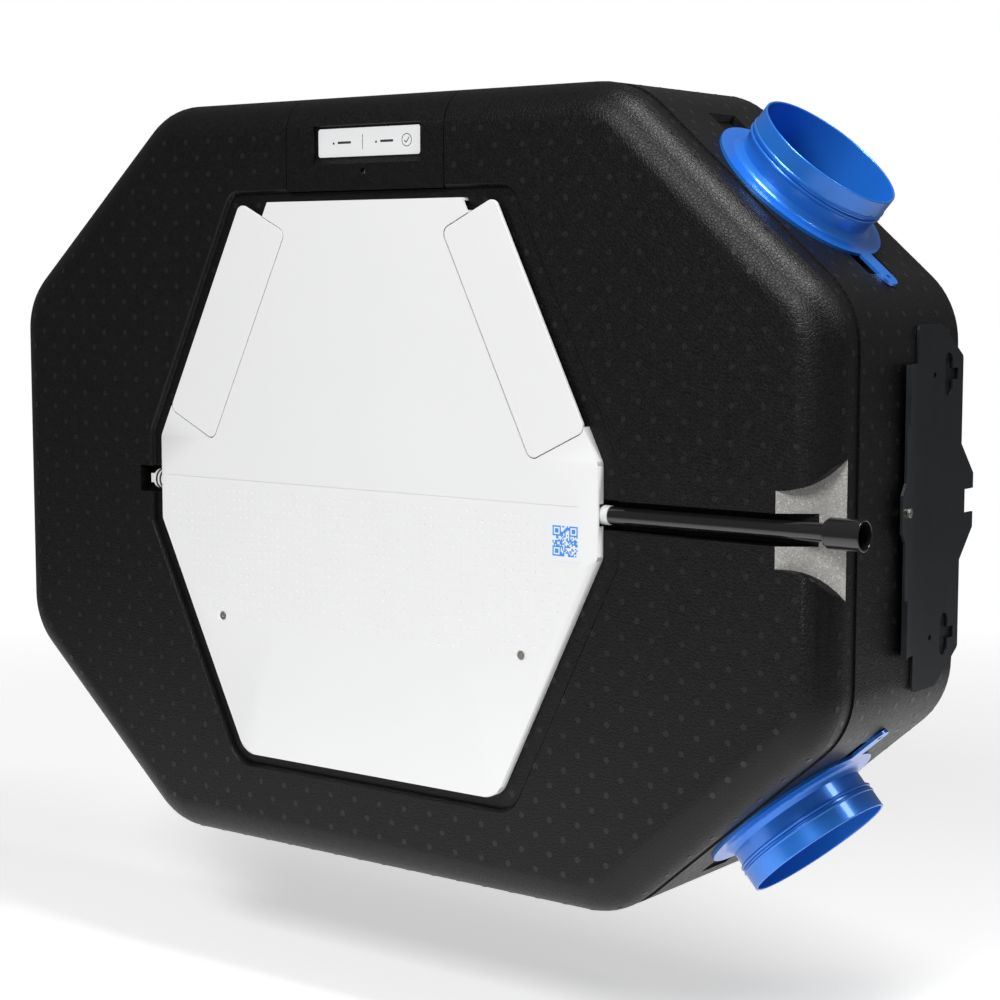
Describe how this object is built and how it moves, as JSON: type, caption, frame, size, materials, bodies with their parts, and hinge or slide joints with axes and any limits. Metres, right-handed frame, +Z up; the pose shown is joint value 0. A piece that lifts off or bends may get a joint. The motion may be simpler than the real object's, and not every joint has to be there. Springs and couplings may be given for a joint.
{
  "type": "heat recovery unit",
  "caption": "Flat wall-hung heat recovery ventilation unit: black foam body, white front cover, filter doors, blue duct spigots, hanging brackets.",
  "frame": {"origin": "on the wall plane at the middle of the unit, level with the notches of the two hooks", "axes": "+X to the right seen from the front, +Y towards the wall, +Z up; the cover faces -Y"},
  "size_m": [1.1961, 0.3175, 0.865],
  "materials": {
    "foam_black": "moulded expanded polypropylene foam with a fine bead grain",
    "foam_inner": "expanded polypropylene foam",
    "cover_white": "satin white moulded plastic",
    "label_foil": "matt white printed foil",
    "code_blue": "white sticker with a blue printed pattern",
    "duct_blue": "satin blue moulded plastic",
    "pipe_black": "glossy black pipe",
    "plug_white": "satin white moulded plastic",
    "seal_rubber": "soft black rubber",
    "bracket_steel": "dark blue-grey coated steel",
    "screw_steel": "plain steel",
    "housing_grey": "dark grey moulded plastic",
    "board_green": "coated circuit board",
    "terminal_green": "green moulded plastic",
    "plate_plastic": "thin clear-white plastic sheet",
    "frame_plastic": "white moulded plastic",
    "strap_black": "woven strap",
    "filter_fleece": "pleated filter fleece",
    "filter_card": "white plastic frame",
    "tab_blue": "blue pull tab",
    "motor_metal": "cast and turned metal",
    "impeller_plastic": "light grey moulded plastic"
  },
  "bodies": {
    "housing": {"front_shell": "foam_black", "rear_shell": "foam_black", "divider_left": "foam_inner", "divider_right": "foam_inner", "divider_top": "foam_inner", "divider_bottom": "foam_inner", "controller_housing": "housing_grey", "circuit_board": "board_green", "terminal_blocks": "terminal_green", "cable_gland": "seal_rubber", "port_seals": "seal_rubber", "exchanger_gaskets": "seal_rubber", "fan_housing_left": "housing_grey", "fan_housing_right": "housing_grey", "fan_motor_left": "motor_metal", "fan_motor_right": "motor_metal", "temperature_sensors": "screw_steel", "drain_pipe": "pipe_black", "drain_socket": "pipe_black", "wall_bracket_left": "bracket_steel", "wall_bracket_right": "bracket_steel", "bracket_screws": "screw_steel"},
    "cover": {"front_cover": "cover_white", "cover_insulation": "foam_inner", "cover_screws": "screw_steel", "code_label": "code_blue"},
    "exchanger": {"exchanger_core": "plate_plastic", "exchanger_frame": "frame_plastic", "exchanger_strap": "strap_black", "drain_manifold": "frame_plastic"},
    "door_left": {"filter_door_left": "cover_white", "door_plug_left": "foam_inner"},
    "door_right": {"filter_door_right": "cover_white", "door_plug_right": "foam_inner"},
    "filter_left": {"filter_frame_left": "filter_card", "filter_media_left": "filter_fleece", "filter_tab_left": "tab_blue"},
    "filter_right": {"filter_frame_right": "filter_card", "filter_media_right": "filter_fleece", "filter_tab_right": "tab_blue"},
    "control_hatch": {"control_cover": "foam_black", "display_label": "label_foil", "control_screw": "screw_steel"},
    "plug": {"drain_plug": "plug_white", "plug_orings": "seal_rubber"},
    "spigot_top_right": {"duct_spigot_top_right": "duct_blue"},
    "spigot_bottom_right": {"duct_spigot_bottom_right": "duct_blue"},
    "fan_left": {"impeller_left": "impeller_plastic"},
    "fan_right": {"impeller_right": "impeller_plastic"}
  },
  "joints": [
    {"name": "cover_pull", "type": "slide", "parent": "housing", "child": "cover", "axis": [0, -1, 0], "range_m": [0, 0.32]},
    {"name": "exchanger_pull", "type": "slide", "parent": "housing", "child": "exchanger", "axis": [0, -1, 0], "range_m": [0, 0.26]},
    {"name": "door_left_pull", "type": "slide", "parent": "housing", "child": "door_left", "axis": [0, -1, 0], "range_m": [0, 0.3]},
    {"name": "door_right_pull", "type": "slide", "parent": "housing", "child": "door_right", "axis": [0, -1, 0], "range_m": [0, 0.3]},
    {"name": "filter_left_pull", "type": "slide", "parent": "housing", "child": "filter_left", "axis": [0, -1, 0], "range_m": [0, 0.24]},
    {"name": "filter_right_pull", "type": "slide", "parent": "housing", "child": "filter_right", "axis": [0, -1, 0], "range_m": [0, 0.24]},
    {"name": "control_hatch_pull", "type": "slide", "parent": "housing", "child": "control_hatch", "axis": [0, -1, 0], "range_m": [0, 0.12]},
    {"name": "plug_pull", "type": "slide", "parent": "exchanger", "child": "plug", "axis": [-1, 0, 0], "range_m": [0, 0.009]},
    {"name": "fan_left_spin", "type": "hinge", "parent": "housing", "child": "fan_left", "pos_m": [-0.33186, -0.15, -0.1889], "axis": [0, 1, 0], "continuous": true},
    {"name": "fan_right_spin", "type": "hinge", "parent": "housing", "child": "fan_right", "pos_m": [0.33186, -0.15, -0.1889], "axis": [0, 1, 0], "continuous": true},
    {"name": "spigot_top_right_pull", "type": "slide", "parent": "housing", "child": "spigot_top_right", "axis": [0.6608, 0, 0.7506], "range_m": [0, 0.06]},
    {"name": "spigot_bottom_right_pull", "type": "slide", "parent": "housing", "child": "spigot_bottom_right", "axis": [0.6608, 0, -0.7506], "range_m": [0, 0.06]}
  ],
  "couplings": [
    {"joint": "exchanger_pull", "follows": "cover_pull", "ratio": 0.8},
    {"joint": "filter_left_pull", "follows": "door_left_pull", "ratio": 0.8},
    {"joint": "filter_right_pull", "follows": "door_right_pull", "ratio": 0.8}
  ]
}
